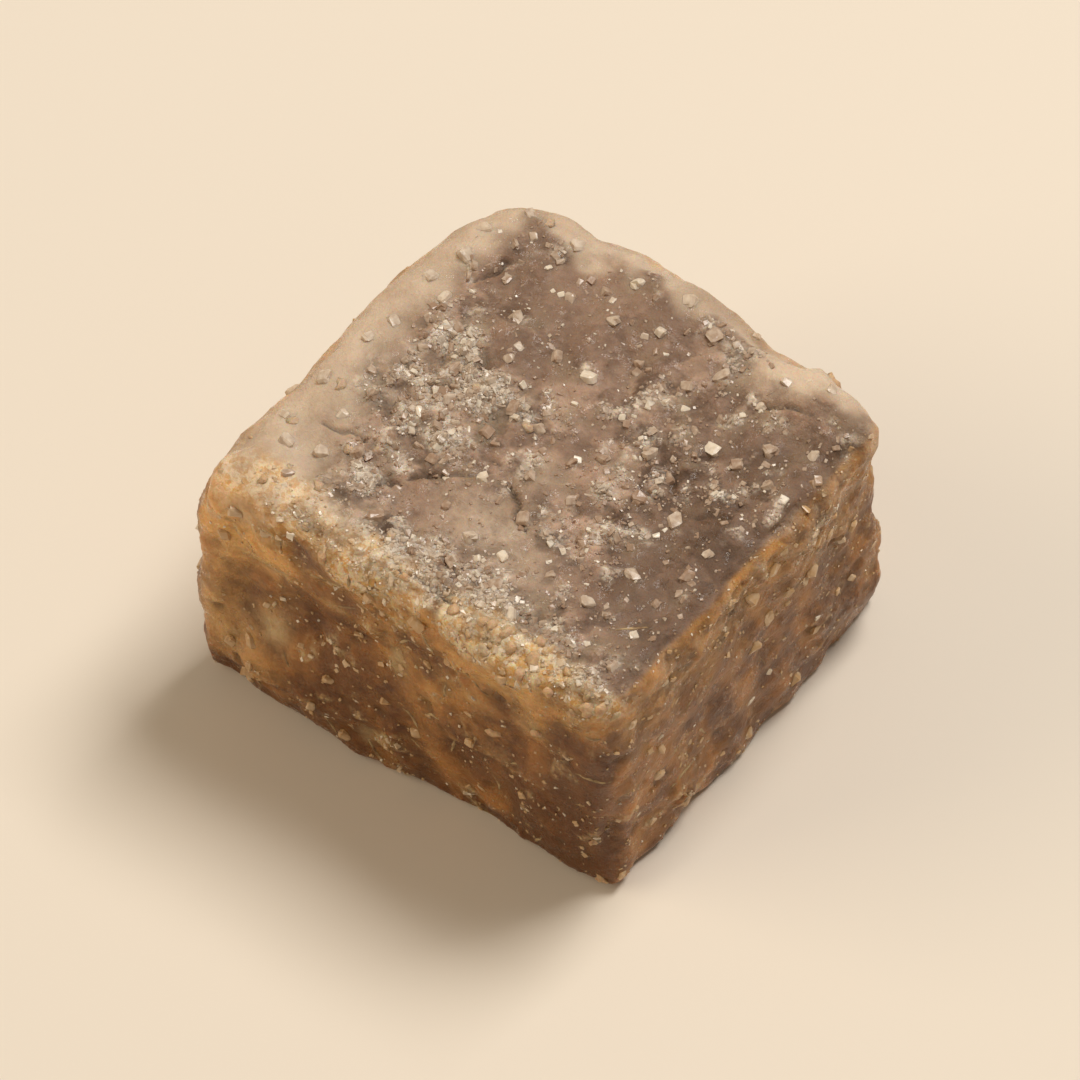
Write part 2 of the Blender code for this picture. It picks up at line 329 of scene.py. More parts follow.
# Patches of the cut front: middle, reach (x and z, millimetres), amber glow and paleness there.
# The glow is painted light shining through the paste, and the darkest patches, at the right end
# and along the foot, are painted shade.
FRONT_PATCHES = (
    ((-12.6, 16.6), (2.2, 3.4), 0.95, 0.10),
    ((-9.4, 16.4), (2.0, 1.8), 0.70, 0.00),
    ((-7.0, 18.4), (1.6, 1.0), -0.60, -0.70),
    ((-4.2, 15.8), (1.0, 1.4), -0.30, -0.45),
    ((-9.8, 14.4), (1.6, 0.7), 0.35, 0.90),
    ((-5.3, 14.4), (1.1, 0.9), 0.30, 0.85),
    ((-1.4, 12.3), (0.6, 1.3), 0.15, 0.85),
    ((-9.7, 8.5), (1.2, 1.3), 0.05, 1.10),
    ((-13.6, 8.0), (1.6, 4.5), 0.75, 0.40),
    ((-10.8, 5.0), (2.0, 1.6), 0.45, 0.25),
    ((6.0, 8.2), (1.5, 1.8), 0.05, 0.60),
    ((8.0, 13.6), (1.3, 1.5), 0.20, 0.60),
    ((-3.6, 3.0), (0.7, 1.5), 0.10, 0.80),
    ((5.4, 2.2), (1.2, 1.2), 0.00, 0.60),
    ((0.8, 1.4), (1.2, 0.9), 0.00, 0.40),
    ((6.6, 17.2), (3.0, 1.6), 0.45, 0.40),
    ((0.6, 9.2), (1.3, 1.9), 0.30, 0.00),
    ((3.6, 12.6), (2.0, 1.6), 0.30, -0.20),
    ((-5.4, 10.0), (2.1, 3.2), -0.50, -0.85),
    ((-4.6, 5.6), (3.0, 2.2), -0.40, -0.60),
    ((0.5, 15.4), (1.6, 1.2), -0.30, -0.60),
    ((3.0, 15.0), (1.0, 0.8), -0.30, -0.50),
    ((3.4, 5.6), (1.6, 2.2), -0.30, -0.70),
    # painted shade: the right end and the foot of the cut front are darkened as if shaded
    ((10.2, 4.8), (3.6, 6.0), -0.60, -1.30),
    ((11.2, 11.8), (2.2, 4.0), -0.45, -0.70),
    ((7.0, 4.6), (2.2, 3.4), -0.40, -0.60),
    ((1.0, 1.0), (7.0, 1.2), -0.30, -0.60),
    ((-9.4, 0.8), (3.8, 1.2), -0.50, -0.90),
)
# Cracks of the top: both ends (x and y), half width and depth, in millimetres.
CRACKS = (
    ((-8.6, 6.0), (-7.3, 8.4), 0.15, 0.36),
    ((9.2, 7.9), (12.2, 8.6), 0.18, 0.36),
    ((-4.3, -6.1), (-3.2, -5.2), 0.24, 0.42),
    ((-3.2, -5.2), (-0.8, -3.5), 0.15, 0.26),
    ((0.4, -3.4), (2.8, -5.7), 0.18, 0.38),
    ((-1.5, -11.4), (2.5, -11.9), 0.20, 0.36),
    ((-10.2, -6.1), (-7.4, -5.7), 0.18, 0.28),
    ((0.3, 8.2), (2.6, 5.1), 0.20, 0.12),
    ((-5.4, -7.6), (-4.8, -6.8), 0.22, 0.36),
    ((9.8, 0.2), (12.0, 1.2), 0.18, 0.26),
    ((-7.4, 2.2), (-6.2, -1.2), 0.16, 0.18),
    ((-2.0, -2.6), (-0.2, -3.2), 0.18, 0.24),
)
DARK_DEPTH = 0.5  # a crack this deep is fully darkened inside, as painted shade


def noise_at(places, spacing, start):
    """Smooth noise from -1 to 1 at each place, with bumps about this far apart."""
    shift = Vector(start)
    return np.array([noise.noise(Vector(place) / spacing + shift) for place in places])


def step(low, high, values):
    share = np.clip((values - low) / (high - low), 0.0, 1.0)
    return share * share * (3.0 - 2.0 * share)


def cells_at(places, spacing):
    """The cell of a random packing that each place is in: its middle and its random numbers."""
    middles = np.empty((len(places), 3))
    chances = np.empty((len(places), 3))
    for i, place in enumerate(places):
        found = noise.voronoi(Vector(place) / spacing)[1]
        middles[i] = found[0]
        chances[i] = noise.cell_vector(found[0] * 97.0)
    return middles * spacing, chances


def patches_at(places, patches, axes, column):
    """The sum of the patches' sugar or painted glow (column 2) or paleness (column 3) at each
    place.
    """
    flat = places[:, axes]
    total = np.zeros(len(places))
    for patch in patches:
        away = ((flat - np.array(patch[0])) / np.array(patch[1])) ** 2
        total += patch[column] * np.exp(-away.sum(axis=1))
    return total


def crack_at(places, start, end, half_width):
    """1 along the middle of a crack, and down to 0 beyond its width."""
    start, end = np.array(start), np.array(end)
    run = end - start
    along = np.clip(((places[:, :2] - start) @ run) / (run @ run), 0.0, 1.0)
    nearest = start + along[:, None] * run
    away = np.linalg.norm(places[:, :2] - nearest, axis=1)
    taper = 0.45 + 0.55 * np.sin(along * math.pi)
    return np.exp(-(away / (half_width * taper)) ** 2)


def band(away, width):
    """1 from an edge to half the width, then slowly down to 0."""
    return 1.0 - step(0.50, 1.20, away / width)


upward = step(0.45, 0.95, facings[:, 2])
frontward = step(0.45, 0.95, -facings[:, 1])
sideways = 1.0 - upward
high = step(11.0, 19.0, points[:, 2])
broad = noise_at(points, *BROAD)
close = noise_at(points, *CLOSE)
fine = noise_at(points, *FINE)
mottle = close + 0.6 * fine

waver = 1.5 * noise_at(points, *WAVER) + 0.9 * close + 0.4 * fine
u_share, v_share = 0.5 + 0.5 * cube[:, 0], 0.5 + 0.5 * cube[:, 1]
down = HALF.z * (1.0 - cube[:, 2])
worn_depth = DOWN_RIM * np.clip(1.0 + 0.45 * waver, 0.25, 2.0)
worn_down = 1.0 - step(*WORN_STRETCH, down / worn_depth)
left_band = band((1.0 + cube[:, 0]) * HALF.x + waver, mix(*LEFT_RIM, v_share))
back_band = band((1.0 - cube[:, 1]) * HALF.y + waver, mix(*BACK_RIM, u_share))
front_band = band((1.0 + cube[:, 1]) * HALF.y + 0.5 * waver, mix(*FRONT_RIM, u_share))
right_band = band((1.0 - cube[:, 0]) * HALF.x + 0.5 * waver, mix(*RIGHT_EDGE, v_share))
rim = np.maximum(left_band, back_band) * worn_down
fringe = front_band * band(down + waver, DOWN_FRINGE)
fringe *= mix(0.55, 1.0, step(-0.25, 0.20, noise_at(points, *FRINGE_GAPS)))
fringe *= mix(0.20, 1.0, step(*FRINGE_START, points[:, 0] + waver))
rim *= 1.0 - fringe
# painted shade along the top's right edge, which also gets less sugar
shaded_bare_right_edge = right_band * upward * (1.0 - rim) * (1.0 - fringe)

top_sugar = 0.36 + patches_at(points, TOP_PATCHES, (0, 1), 2) + 0.30 * broad
side_sugar = 0.08 + 0.16 * high + 0.50 * broad
thick = upward * top_sugar + sideways * side_sugar - 0.30 * shaded_bare_right_edge
sugar = np.clip(thick + 0.25 * close, 0.0, 1.0) * (1.0 - 0.9 * rim)
frost = step(0.44, 0.92, thick + 0.85 * mottle) * (1.0 - rim) * (1.0 - 0.5 * fringe)
gaps = step(0.16, 0.42, -mottle) * step(0.15, 0.50, thick) * (1.0 - rim) * upward
gaps *= 1.0 - 0.8 * fringe
dust_patches = step(-0.30, 0.50, broad + 0.4 * mottle)
dusted = mix(*SIDE_DUST, high) * sideways * (1.0 - frontward) * dust_patches

wander_x = noise_at(points, WANDER[0], (4, 4, 1))
wander_y = noise_at(points, WANDER[0], (8, 1, 2))
wander = WANDER[1] * np.stack([wander_x, wander_y], 1)
wandered = np.hstack([points[:, :2] + wander, points[:, 2:]])
plate_chances = cells_at(wandered, PLATES[0])[1]
relief = FLAKE * frost - GAP * gaps - CRUST * rim * (1.0 - fringe)
relief += PLATES[1] * (plate_chances[:, 1] - 0.5) * upward * (1.0 - rim)
for spacing, rise, slant in CRYSTALS:
    middles, crystal_chances = cells_at(points, spacing)
    crystal = rise * (crystal_chances[:, 0] * 2.0 - 1.0)
    crystal += slant * ((points - middles) * (crystal_chances * 2.0 - 1.0)).sum(axis=1)
    relief += crystal * mix(BARE_CRYSTALS, 1.0, step(0.15, 0.60, sugar)) * (1.0 - 0.7 * rim)
for spacing, rise, start in GRIT:
    relief += rise * noise_at(points, spacing, start) * mix(BARE_GRIT, 1.0, sugar)
pit_middles, pit_chances = cells_at(points, PITS[0])
pit_away = np.linalg.norm(points - pit_middles, axis=1) / (PITS[0] * PITS[1])
pitted = np.clip(1.0 - pit_away**2, 0.0, 1.0) * (pit_chances[:, 1] < PIT_CHANCE) * (1.0 - rim)
pitted *= 1.0 - 0.7 * fringe
relief -= PITS[2] * pitted
cracked = np.zeros(len(points))
for start, end, half_width, depth in CRACKS:
    opening = crack_at(wandered, start, end, half_width) * upward
    relief -= depth * opening
    cracked = np.maximum(cracked, opening * min(1.0, depth / DARK_DEPTH))
room_low, room_high = np.array(box_low) / MM, np.array(box_high) / MM
points = np.clip(points + facings * relief[:, None], room_low, room_high)
for vert, point in zip(block.verts, points):
    vert.co = Vector(point) * MM
block.normal_update()
block_mesh = bpy.data.meshes.new("candy_block")
block.to_mesh(block_mesh)
block.free()
block_mesh.shade_smooth()

# The colours of the skin
# The bare paste is amber brown and lets light through, and that light is painted into the colour
# as a golden glow on the upper sides and over the top left of the cut front. A dry grey-brown film
# covers the top, whitish where sugar is packed in, the worn edges have turned a pale tan, and the
# fringe over the cut front is golden with painted light and cream with sugar. Shade is painted
# into the cracks, pits and gaps, onto the right part and right edge of the top, and onto the right
# end and foot of the cut front.
GLOW_HEIGHTS = (9.0, 20.0)  # painted glow: the sides turn golden between these heights
STREAKS = (1.8, 5.4)  # marks of the knife in the colour: across and along, in millimetres


def name_values(mesh, name, values):
    """Keeps one number for each vertex in the mesh, for its material to read."""
    layer = mesh.attributes.new(name, "FLOAT", "POINT")
    layer.data.foreach_set("value", np.asarray(values, np.float32))


drawn = points * np.array([1.0, 1.0, STREAKS[0] / STREAKS[1]])
streaks = noise_at(drawn, STREAKS[0], (5.0, 3.0, 3.0))
# Painted glow of light shining through the paste: higher up the sides and at the top left of the
# cut front, and less at its shaded right end.
front_glow = patches_at(points, FRONT_PATCHES, (0, 2), 2) * frontward
front_pale = patches_at(points, FRONT_PATCHES, (0, 2), 3) * frontward
glow = 0.55 * step(*GLOW_HEIGHTS, points[:, 2] + 3.0 * broad) + front_glow + 0.30 * close
top_pale = patches_at(points, TOP_PATCHES, (0, 1), 3) * upward
paleness = top_pale + front_pale + 0.10 * broad - 0.35 * shaded_bare_right_edge
name_values(block_mesh, "sugar", sugar)
name_values(block_mesh, "frost", frost)
name_values(block_mesh, "rim", rim * (1.0 - 0.35 * sideways))
name_values(block_mesh, "fringe", fringe)
name_values(block_mesh, "glow", np.clip(glow * sideways, 0.0, 1.0))
name_values(block_mesh, "streak", step(-0.35, 0.35, streaks))
name_values(block_mesh, "pale", np.clip(paleness, 0.0, 1.0))
name_values(block_mesh, "dark", np.clip(-paleness, 0.0, 1.0))
name_values(block_mesh, "tone", crystal_chances[:, 2])  # of the smaller crystals, the last made
name_values(block_mesh, "plate", plate_chances[:, 0])
# painted shade in the cracks, pits and gaps
name_values(block_mesh, "hollow_shade", np.maximum.reduce([cracked, 0.4 * pitted, 0.40 * gaps]))
name_values(block_mesh, "top", upward + dusted)

PASTE_DARK = (0.140, 0.050, 0.011, 1.0)
PASTE = (0.460, 0.200, 0.052, 1.0)
# Golden paste, used as painted glow of light shining through the paste on the sides and the
# fringe. The crumbs also take it as a lighter tone of their own.
PASTE_GOLD = (0.830, 0.445, 0.135, 1.0)
PASTE_PALE = (0.560, 0.395, 0.205, 1.0)
FILM_DARK = (0.108, 0.060, 0.034, 1.0)
FILM = (0.525, 0.346, 0.244, 1.0)
FILM_DUSK = (0.288, 0.174, 0.112, 1.0)
FILM_OLIVE = (0.296, 0.214, 0.134, 1.0)
SUGARED = (0.770, 0.635, 0.500, 1.0)
RIM_TAN = (0.520, 0.378, 0.262, 1.0)
RIM_PALE = (0.740, 0.580, 0.425, 1.0)
FRINGE_CREAM = (0.930, 0.730, 0.470, 1.0)
# painted shade for the cracks, pits, gaps and the grooves between crystals
HOLLOW_SHADE = (0.070, 0.033, 0.013, 1.0)
# How large the marks in the colour are, from the widest to the finest.
CLOUD_SIZE = 3.4
OLIVE_SIZE = 1.7
BLOTCH_SIZE = 1.3
CRYSTAL_SIZE = 0.40
FLECK_SIZE = 0.26
PASTE_SCATTER = (1.0, 0.42, 0.16)  # red light goes furthest into the paste, then green, then blue


def add_node(tree, kind, values=None, **settings):
    """A node with these settings; each named input gets a value or another node's output."""
    node = tree.nodes.new(kind)
    for name, setting in settings.items():
        setattr(node, name, setting)
    for name, value in (values or {}).items():
        give(tree, node.inputs[name], value)
    return node


def give(tree, socket, value):
    if isinstance(value, bpy.types.NodeSocket):
        tree.links.new(value, socket)
    else:
        socket.default_value = value


def mesh_value(tree, name):
    return add_node(tree, "ShaderNodeAttribute", attribute_name=name).outputs["Fac"]


def ramped(tree, value, low, high, to_low=0.0, to_high=1.0):
    """The value, carried from one range to another and held inside it."""
    ranges = {
        "Value": value,
        "From Min": low,
        "From Max": high,
        "To Min": to_low,
        "To Max": to_high,
    }
    return add_node(tree, "ShaderNodeMapRange", ranges).outputs["Result"]


def combined(tree, operation, first, second):
    node = add_node(tree, "ShaderNodeMath", operation=operation, use_clamp=True)
    give(tree, node.inputs[0], first)
    give(tree, node.inputs[1], second)
    return node.outputs[0]


def mixed(tree, share, first, second):
    """The colour that lies this share of the way from the first to the second."""
    node = add_node(tree, "ShaderNodeMix", data_type="RGBA")
    give(tree, node.inputs[0], share)
    give(tree, node.inputs[6], first)
    give(tree, node.inputs[7], second)
    return node.outputs[2]


def grains(tree, place, size, detail=2.0, roughness=0.5):
    """Cloudy noise whose clouds are about this many millimetres across."""
    values = {
        "Vector": place,
        "Scale": 1.0 / (size * MM),
        "Detail": detail,
        "Roughness": roughness,
    }
    return add_node(tree, "ShaderNodeTexNoise", values).outputs["Fac"]


def packed_crystals(tree, place, size, unevenness):
    """Uneven crystals, about this many millimetres across: a random tone and a dome for each."""
    scatter = add_node(tree, "ShaderNodeTexNoise", {"Vector": place, "Scale": 1.0 / (size * MM)})
    shift = add_node(tree, "ShaderNodeVectorMath", operation="SCALE")
    give(tree, shift.inputs[0], scatter.outputs["Color"])
    give(tree, shift.inputs["Scale"], unevenness * size * MM)
    uneven = add_node(tree, "ShaderNodeVectorMath", operation="ADD")
    give(tree, uneven.inputs[0], place)
    give(tree, uneven.inputs[1], shift.outputs[0])
    values = {"Vector": uneven.outputs[0], "Scale": 1.0 / (size * MM)}
    packing = add_node(tree, "ShaderNodeTexVoronoi", values)
    brightness = combined(tree, "ADD", packing.outputs["Color"], 0.0)
    tone = ramped(tree, brightness, 0.22, 0.78)
    dome = ramped(tree, packing.outputs["Distance"], 0.15, 0.75, 1.0, 0.0)
    return tone, dome


def blended(tree, *parts):
    """The sum of these values, each times its weight."""
    total = 0.0
    for value, weight in parts:
        total = combined(tree, "ADD", combined(tree, "MULTIPLY", value, weight), total)
    return total


def laid_over(tree, under, over, share, second_share):
    """One colour laid over another, as thickly as the product of the two shares says."""
    return mixed(tree, combined(tree, "MULTIPLY", share, second_share), under, over)


def new_material(name):
    """A new material with its tree and shader, and the place of each point on the object."""
    material = bpy.data.materials.new(name)
    material.use_nodes = True
    tree = material.node_tree
    place = add_node(tree, "ShaderNodeTexCoord").outputs["Object"]
    return material, tree, tree.nodes["Principled BSDF"], place


def let_light_in(tree, shader, weight, scatter, depth):
    """Light goes about this deep, in millimetres, times the scatter of red, green and blue."""
    give(tree, shader.inputs["Subsurface Weight"], weight)
    shader.inputs["Subsurface Radius"].default_value = scatter
    shader.inputs["Subsurface Scale"].default_value = depth * MM


def add_bump(tree, shader, height, strength, rise):
    """Relief that only the shading shows, up to this many millimetres high."""
    values = {"Height": height, "Strength": strength, "Distance": rise * MM}
    bump = add_node(tree, "ShaderNodeBump", values)
    tree.links.new(bump.outputs["Normal"], shader.inputs["Normal"])


def paste_material(name):
    """Bare paste, dry film, worn edges, fringe and sugar, as the values kept in the mesh say."""
    material, tree, shader, place = new_material(name)
    clouds = ramped(tree, grains(tree, place, CLOUD_SIZE, 3.0), 0.36, 0.62)
    blotches = ramped(tree, grains(tree, place, BLOTCH_SIZE, 3.0, 0.6), 0.38, 0.62)
    flecks = ramped(tree, grains(tree, place, FLECK_SIZE, 3.0, 0.65), 0.36, 0.64)
    crystal_tone, dome = packed_crystals(tree, place, CRYSTAL_SIZE, 1.2)
    tone = mesh_value(tree, "tone")
    sugar = mesh_value(tree, "sugar")
    rim = mesh_value(tree, "rim")
    fringe = mesh_value(tree, "fringe")
    speckle = blended(tree, (crystal_tone, 0.55), (flecks, 0.45))

    streaked = combined(tree, "MULTIPLY", clouds, mesh_value(tree, "streak"))
    mottled = blended(tree, (streaked, 0.52), (blotches, 0.18), (tone, 0.12), (speckle, 0.18))
    paste = mixed(tree, ramped(tree, mottled, 0.15, 0.75), PASTE_DARK, PASTE)
    flecked = ramped(tree, blended(tree, (blotches, 0.6), (speckle, 0.4)), 0.15, 0.85, 0.50, 1.0)
    # painted glow: golden where light would shine through the paste
    paste = laid_over(tree, paste, PASTE_GOLD, mesh_value(tree, "glow"), flecked)

    plate = mesh_value(tree, "plate")
    film_parts = (plate, 0.34), (tone, 0.10), (blotches, 0.26), (clouds, 0.16), (speckle, 0.14)
    film = mixed(tree, ramped(tree, blended(tree, *film_parts), 0.25, 0.75), FILM_DARK, FILM)
    olive = ramped(tree, grains(tree, place, OLIVE_SIZE, 2.0), 0.52, 0.66, 0.0, 0.65)
    film = mixed(tree, olive, film, FILM_OLIVE)
    film = mixed(tree, ramped(tree, sugar, 0.05, 0.40, 0.55, 0.0), film, FILM_DUSK)
    film_cover = blended(tree, (mesh_value(tree, "top"), 1.0), (sugar, 0.3))
    filmed = ramped(tree, film_cover, 0.15, 0.75)
    colour = mixed(tree, filmed, paste, film)

    tan_parts = blended(tree, (clouds, 0.5), (blotches, 0.3), (speckle, 0.2))
    tan = mixed(tree, tan_parts, RIM_TAN, RIM_PALE)
    colour = laid_over(tree, colour, tan, rim, 0.94)
    pale = mixed(tree, filmed, PASTE_PALE, RIM_PALE)
    dark = mixed(tree, filmed, PASTE_DARK, FILM_DARK)
    # pale and dark patches; the dark ones are partly painted shade, on the top's right part and
    # right edge and at the right end and foot of the cut front
    colour = laid_over(tree, colour, pale, mesh_value(tree, "pale"), flecked)
    colour = laid_over(tree, colour, dark, mesh_value(tree, "dark"), flecked)
    # the fringe: its cream is sugar, and its gold is painted light shining through the thin edge
    gold = mixed(tree, ramped(tree, speckle, 0.20, 0.65), PASTE_GOLD, FRINGE_CREAM)
    colour = laid_over(tree, colour, gold, fringe, flecked)
    white = mixed(tree, filmed, PASTE_PALE, SUGARED)
    broken = ramped(tree, blended(tree, (flecks, 0.6), (crystal_tone, 0.4)), 0.25, 0.75, 0.10, 1.0)
    colour = laid_over(tree, colour, white, mesh_value(tree, "frost"), broken)
    packed = ramped(tree, sugar, 0.25, 0.75)
    # painted shade in the grooves between packed crystals and in the cracks, pits and gaps
    grooves = combined(tree, "MULTIPLY", ramped(tree, dome, 0.0, 0.35, 0.30, 0.0), packed)
    hollow_shade = blended(tree, (mesh_value(tree, "hollow_shade"), 1.0), (grooves, 0.8))
    colour = mixed(tree, hollow_shade, colour, HOLLOW_SHADE)
    tree.links.new(colour, shader.inputs["Base Color"])
    dull = ramped(tree, filmed, 0.0, 1.0, 0.36, 0.70)
    glint = ramped(tree, crystal_tone, 0.80, 0.95, 0.0, 0.5)
    tree.links.new(combined(tree, "SUBTRACT", dull, glint), shader.inputs["Roughness"])
    clear = ramped(tree, filmed, 0.0, 1.0, 0.62, 0.40)
    let_light_in(tree, shader, clear, PASTE_SCATTER, 1.4)
    shader.inputs["Specular IOR Level"].default_value = 0.40
    coarse = blended(tree, (dome, 0.45), (crystal_tone, 0.30), (flecks, 0.25))
    smooth = blended(tree, (flecks, 0.35), (blotches, 0.25), (crystal_tone, 0.12))
    height = add_node(tree, "ShaderNodeMix", {"Factor": packed, "A": smooth, "B": coarse})
    add_bump(tree, shader, height.outputs["Result"], 0.8, 0.12)
    return material


def finished(name, mesh, material):
    """The piece as an object that rides on the candy and takes its finish from the slot."""
    mesh.materials.append(material)
    piece = bpy.data.objects.new(name, mesh)
    bpy.context.scene.collection.objects.link(piece)
    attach(piece, "root")
    return piece


candy_block = finished("candy_block", block_mesh, paste_material("ginger_paste"))
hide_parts("ginger_candy")

# Coarse sugar
# The largest crystals that the sticky crust holds, each a small broken block of clear sugar
# seated in the skin at a slant. They sit where the node's own grains do.
SUGAR_COUNT = {"top": 76, "front": 19, "back": 16, "left": 15, "right": 16}
SUGAR_SIZE = (0.58, 0.95)  # of a crystal's longest side, in millimetres
SUGAR_SHAPE = (1.0, 0.82, 0.66)  # its three sides, as shares of the longest
SUGAR_STAND = -0.12  # its middle above the skin, as a share of its size: below 0, it is sunk
SUGAR_GAP = 1.7  # between two seats, at least
SUGAR_ACROSS = (-0.92, 0.92)  # shares of a side's half width that they stay within
SUGAR_UP = (-0.86, 0.92)  # and of its half height, or on the top of its half depth
SUGAR_TILT = 0.6  # radians, either way
SUGAR_SEED = 7
CRYSTAL_BEVEL = 0.20  # how far its edges are worn, as a share of its size
CHIP = 0.12  # how unevenly its corners are broken, as a share of their distance from its middle
CLOUDING = 0.18  # how unevenly one crystal is soaked
SUGAR_DRYNESS = (0.5, 1.4)  # of the beta draw: most are soaked, and fewer and fewer are drier
WORN_DRYNESS = 0.55  # of the crystals on the worn edges, as pale as the skin there


def point_on_side(side, s, t):
    return {
        "top": (s, t, 1.0),
        "front": (s, -1.0, t),
        "back": (s, 1.0, t),
        "left": (-1.0, s, t),
        "right": (1.0, s, t),
    }[side]


def sugar_places(rng):
    """Seats for the sugar grains: spread over each side, none nearer another than the gap."""
    seats = []
    for side, count in SUGAR_COUNT.items():
        placed = 0
        while placed < count:
            u, v, w = point_on_side(side, rng.uniform(*SUGAR_ACROSS), rng.uniform(*SUGAR_UP))
            point, facing = candy_surface(u, v, w)
            if all((point - other).length > SUGAR_GAP for other, _ in seats):
                seats.append((point, facing))
                placed += 1
    return seats


def crystal_shape(bevel):
    """A unit sugar crystal with its edges worn, as arrays of points and faces."""
    bm = bmesh.new()
    bmesh.ops.create_cube(bm, size=1.0)
    if bevel:
        bmesh.ops.bevel(
            bm,
            geom=bm.edges[:],
            offset=bevel,
            segments=1,
            profile=0.5,
            affect="EDGES",
            material=-1,
        )
    return as_arrays(bm)


def as_arrays(bm):
    corners = np.array([vert.co for vert in bm.verts])
    faces = [[vert.index for vert in face.verts] for face in bm.faces]
    bm.free()
    return corners, faces


def joined(name, shape, seats, rng, chip):
    """One mesh of many copies of the shape. A seat is (matrix, sizes, dryness, amber)."""
    corners, faces = shape
    all_corners, all_faces = [], []
    for number, (turned, sizes, _, _) in enumerate(seats):
        broken = corners * (1.0 + chip * rng.standard_normal((len(corners), 1)))
        turn = np.array(turned)
        all_corners.append((broken * np.array(sizes)) @ turn[:3, :3].T + turn[:3, 3])
        first = number * len(corners)
        all_faces.extend([first + index for index in face] for face in faces)
    placed = np.clip(np.concatenate(all_corners), room_low, room_high) * MM
    mesh = bpy.data.meshes.new(name)
    mesh.from_pydata(placed.tolist(), [], all_faces)
    for column, mark in ((2, "dryness"), (3, "amber")):
        name_values(mesh, mark, np.repeat([seat[column] for seat in seats], len(corners)))
    return mesh


SUGAR_CLEAR = (0.84, 0.72, 0.57, 1.0)
SUGAR_SOAKED = (0.370, 0.240, 0.158, 1.0)
SUGAR_AMBER = (0.560, 0.350, 0.165, 1.0)


def sugar_material(name):
    """Clear sugar: whitish where it is dry, brown or amber where the paste has soaked in."""
    material, tree, shader, place = new_material(name)
    cloud = ramped(tree, grains(tree, place, 0.35), 0.35, 0.65, -CLOUDING, CLOUDING)
    dryness = combined(tree, "ADD", mesh_value(tree, "dryness"), cloud)
    soaked = mixed(tree, mesh_value(tree, "amber"), SUGAR_SOAKED, SUGAR_AMBER)
    tree.links.new(mixed(tree, dryness, soaked, SUGAR_CLEAR), shader.inputs["Base Color"])
    shader.inputs["Roughness"].default_value = 0.30
    shader.inputs["IOR"].default_value = 1.54
    let_light_in(tree, shader, 0.25, (1.0, 0.8, 0.6), 0.35)
    add_bump(tree, shader, grains(tree, place, 0.16), 0.35, 0.04)
    return material


skin_tree = BVHTree.FromPolygons(
    [vert.co / MM for vert in block_mesh.vertices],
    [face.vertices[:] for face in block_mesh.polygons],
)
face_corners = np.array([face.vertices[:] for face in block_mesh.polygons])


def over_faces(values):
    return values[face_corners].mean(axis=1)


face_frost = over_faces(frost)
face_rim = over_faces(rim)
draws = random.Random(SUGAR_SEED)
chips = np.random.default_rng(SUGAR_SEED)
coarse_seats = []
for point, facing in sugar_places(draws):
    size = draws.uniform(*SUGAR_SIZE)
    roll = Matrix.Rotation(draws.uniform(-SUGAR_TILT, SUGAR_TILT), 4, "X")
    pitch = Matrix.Rotation(draws.uniform(-SUGAR_TILT, SUGAR_TILT), 4, "Y")
    spin = Matrix.Rotation(draws.uniform(0.0, math.tau), 4, "Z")
    upright = facing.to_track_quat("Z", "Y").to_matrix().to_4x4()
    on_skin, _, face, _ = skin_tree.find_nearest(point)
    seat = Matrix.Translation(on_skin + facing * size * SUGAR_STAND)
    sizes = [size * share for share in SUGAR_SHAPE]
    amber = 1.0 - max(0.0, facing.z)
    dryness = draws.betavariate(*SUGAR_DRYNESS) * (1.0 - 0.8 * amber) + 0.20 * face_frost[face]
    dryness = mix(dryness, WORN_DRYNESS, face_rim[face])
    coarse_seats.append((seat @ upright @ spin @ roll @ pitch, sizes, dryness, amber))
coarse_mesh = joined("sugar_coarse", crystal_shape(CRYSTAL_BEVEL), coarse_seats, chips, CHIP)
sugar_look = sugar_material("clear_sugar")
finished("sugar_coarse", coarse_mesh, sugar_look)

# Fine sugar and sugar dust
# Broken crystals and dust fill the crust between the large grains. They lie thickest in the
# frosted flakes, and thin on the worn edges and the cut sides. Most of them are sunk to half
# their height or more.
FINE_COUNT = 1900
FINE_SIZE = (0.24, 0.58)
FINE_FLAT = (0.40, 0.80)  # height of a grain as a share of its width
FINE_SINK = -0.22  # its middle above the skin, as a share of its size: below 0, it is sunk
FINE_BEVEL = 0.15
FINE_CHIP = 0.13
FINE_SEED = 21
DUST_COUNT = 4600
DUST_SIZE = (0.09, 0.20)
DUST_FLAT = (0.6, 1.0)
DUST_SINK = -0.10
DUST_CHIP = 0.16
DUST_SEED = 22
SINK_SPREAD = 0.06  # how unevenly the grains are sunk
GRAIN_TILT = 0.45  # radians: two grains in three tilt less than this
BRIGHT_SHARE = 0.15  # of the grains stayed dry and white
SIDE_GRAINS = 0.30  # how thick the grains lie on the cut sides, as a share of those on the crust
BARE_CORNER = (-13.5, -10.5)  # to the left, fewer and fewer grains have held between these x
UNDERSIDE = -0.8  # a face whose outward direction has less height than this looks down

corner_points = points[face_corners]
face_sugar = over_faces(sugar)
face_fringe = over_faces(fringe)
face_amber = over_faces(np.maximum(np.minimum(1.0, 1.6 * fringe), sideways))
face_hollow = over_faces(np.maximum(cracked, gaps))
diagonals = corner_points[:, 2] - corner_points[:, 0], corner_points[:, 3] - corner_points[:, 1]
face_normals = np.cross(*diagonals)
face_areas = np.linalg.norm(face_normals, axis=1)
face_normals /= np.maximum(face_areas, 1e-9)[:, None]
not_under = face_normals[:, 2] > UNDERSIDE


